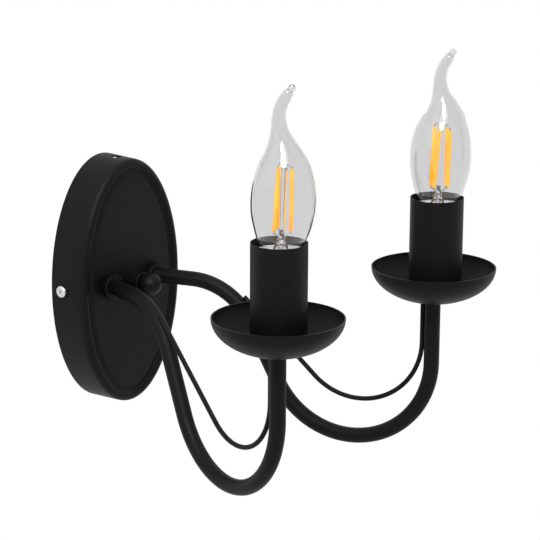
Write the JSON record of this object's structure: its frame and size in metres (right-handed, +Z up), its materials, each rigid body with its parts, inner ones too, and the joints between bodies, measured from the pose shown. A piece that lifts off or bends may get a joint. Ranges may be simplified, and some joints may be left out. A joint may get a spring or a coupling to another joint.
{
  "type": "double arm wall sconce",
  "caption": "Wall light with an oval canopy, splayed curved arms with thin decorative rods, dished drip cups, candle sleeves and clear bent-tip candle bulbs.",
  "frame": {"origin": "centre of the wall bracket's back face, in the plane of the wall", "axes": "+X to the right for someone who faces the wall, +Y into the wall, +Z up"},
  "size_m": [0.2152, 0.2347, 0.2425],
  "materials": {
    "black_powder_coat": "matt black powder coat on steel",
    "zinc_plated_steel": "bright zinc plating",
    "white_terminal_plastic": "moulded polyamide",
    "terminal_brass": "plain brass",
    "white_holder_plastic": "moulded heat resistant plastic",
    "plated_shell": "nickel plated brass",
    "contact_brass": "spring brass",
    "lead_insulation": "wire insulation",
    "solder": "tin solder",
    "dark_cap_glass": "dark cap insulator",
    "cap_aluminium": "drawn cap",
    "clear_glass": "clear blown glass",
    "stem_glass": "clear glass",
    "filament_coating": "yellow orange coating on filament strips",
    "lead_in_wire": "plain wire"
  },
  "bodies": {
    "fixture": {"canopy": "black_powder_coat", "wall_bracket": "zinc_plated_steel", "side_screws": "zinc_plated_steel", "earth_screw": "zinc_plated_steel", "earth_washer": "zinc_plated_steel", "terminal_block": "white_terminal_plastic", "terminal_inserts": "terminal_brass", "terminal_screws": "zinc_plated_steel", "centre_knob": "black_powder_coat", "knob_spacer": "black_powder_coat", "knob_stud": "zinc_plated_steel", "knob_washer": "zinc_plated_steel", "knob_nut": "zinc_plated_steel", "holder_rivets": "zinc_plated_steel", "left_arm_tube": "black_powder_coat", "left_arm_rod": "black_powder_coat", "left_arm_collar": "black_powder_coat", "left_arm_nipple": "zinc_plated_steel", "left_nipple_washer": "zinc_plated_steel", "left_nipple_nut": "zinc_plated_steel", "left_cup": "black_powder_coat", "left_cup_bush": "zinc_plated_steel", "left_cup_locknut": "zinc_plated_steel", "left_holder_foot": "zinc_plated_steel", "left_lampholder": "white_holder_plastic", "left_holder_shell": "plated_shell", "left_holder_contact": "contact_brass", "left_arm_leads": "lead_insulation", "right_arm_tube": "black_powder_coat", "right_arm_rod": "black_powder_coat", "right_arm_collar": "black_powder_coat", "right_arm_nipple": "zinc_plated_steel", "right_nipple_washer": "zinc_plated_steel", "right_nipple_nut": "zinc_plated_steel", "right_cup": "black_powder_coat", "right_cup_bush": "zinc_plated_steel", "right_cup_locknut": "zinc_plated_steel", "right_holder_foot": "zinc_plated_steel", "right_lampholder": "white_holder_plastic", "right_holder_shell": "plated_shell", "right_holder_contact": "contact_brass", "right_arm_leads": "lead_insulation"},
    "left_bulb_lift": {"left_bulb_tip": "solder"},
    "left_bulb": {"left_bulb_insulator": "dark_cap_glass", "left_bulb_cap": "cap_aluminium", "left_bulb_glass": "clear_glass", "left_bulb_stem": "stem_glass", "left_filaments": "filament_coating", "left_filament_wires": "lead_in_wire"},
    "left_sleeve": {"left_candle_sleeve": "black_powder_coat"},
    "right_bulb_lift": {"right_bulb_tip": "solder"},
    "right_bulb": {"right_bulb_insulator": "dark_cap_glass", "right_bulb_cap": "cap_aluminium", "right_bulb_glass": "clear_glass", "right_bulb_stem": "stem_glass", "right_filaments": "filament_coating", "right_filament_wires": "lead_in_wire"},
    "right_sleeve": {"right_candle_sleeve": "black_powder_coat"}
  },
  "joints": [
    {"name": "left_bulb_rise", "type": "slide", "parent": "fixture", "child": "left_bulb_lift", "axis": [0, 0, 1], "range_m": [0, 0.0142]},
    {"name": "left_bulb_unscrew", "type": "hinge", "parent": "left_bulb_lift", "child": "left_bulb", "pos_m": [-0.07053, -0.19932, 0.032], "axis": [0, 0, 1], "range_deg": [0, 1800]},
    {"name": "left_sleeve_lift", "type": "slide", "parent": "fixture", "child": "left_sleeve", "axis": [0, 0, 1], "range_m": [0, 0.0018]},
    {"name": "right_bulb_rise", "type": "slide", "parent": "fixture", "child": "right_bulb_lift", "axis": [0, 0, 1], "range_m": [0, 0.0142]},
    {"name": "right_bulb_unscrew", "type": "hinge", "parent": "right_bulb_lift", "child": "right_bulb", "pos_m": [0.07207, -0.19932, 0.032], "axis": [0, 0, 1], "range_deg": [0, 1800]},
    {"name": "right_sleeve_lift", "type": "slide", "parent": "fixture", "child": "right_sleeve", "axis": [0, 0, 1], "range_m": [0, 0.0018]}
  ],
  "couplings": [
    {"joint": "left_bulb_rise", "follows": "left_bulb_unscrew", "m_per_rad": 0.00044882},
    {"joint": "right_bulb_rise", "follows": "right_bulb_unscrew", "m_per_rad": 0.00044882}
  ]
}
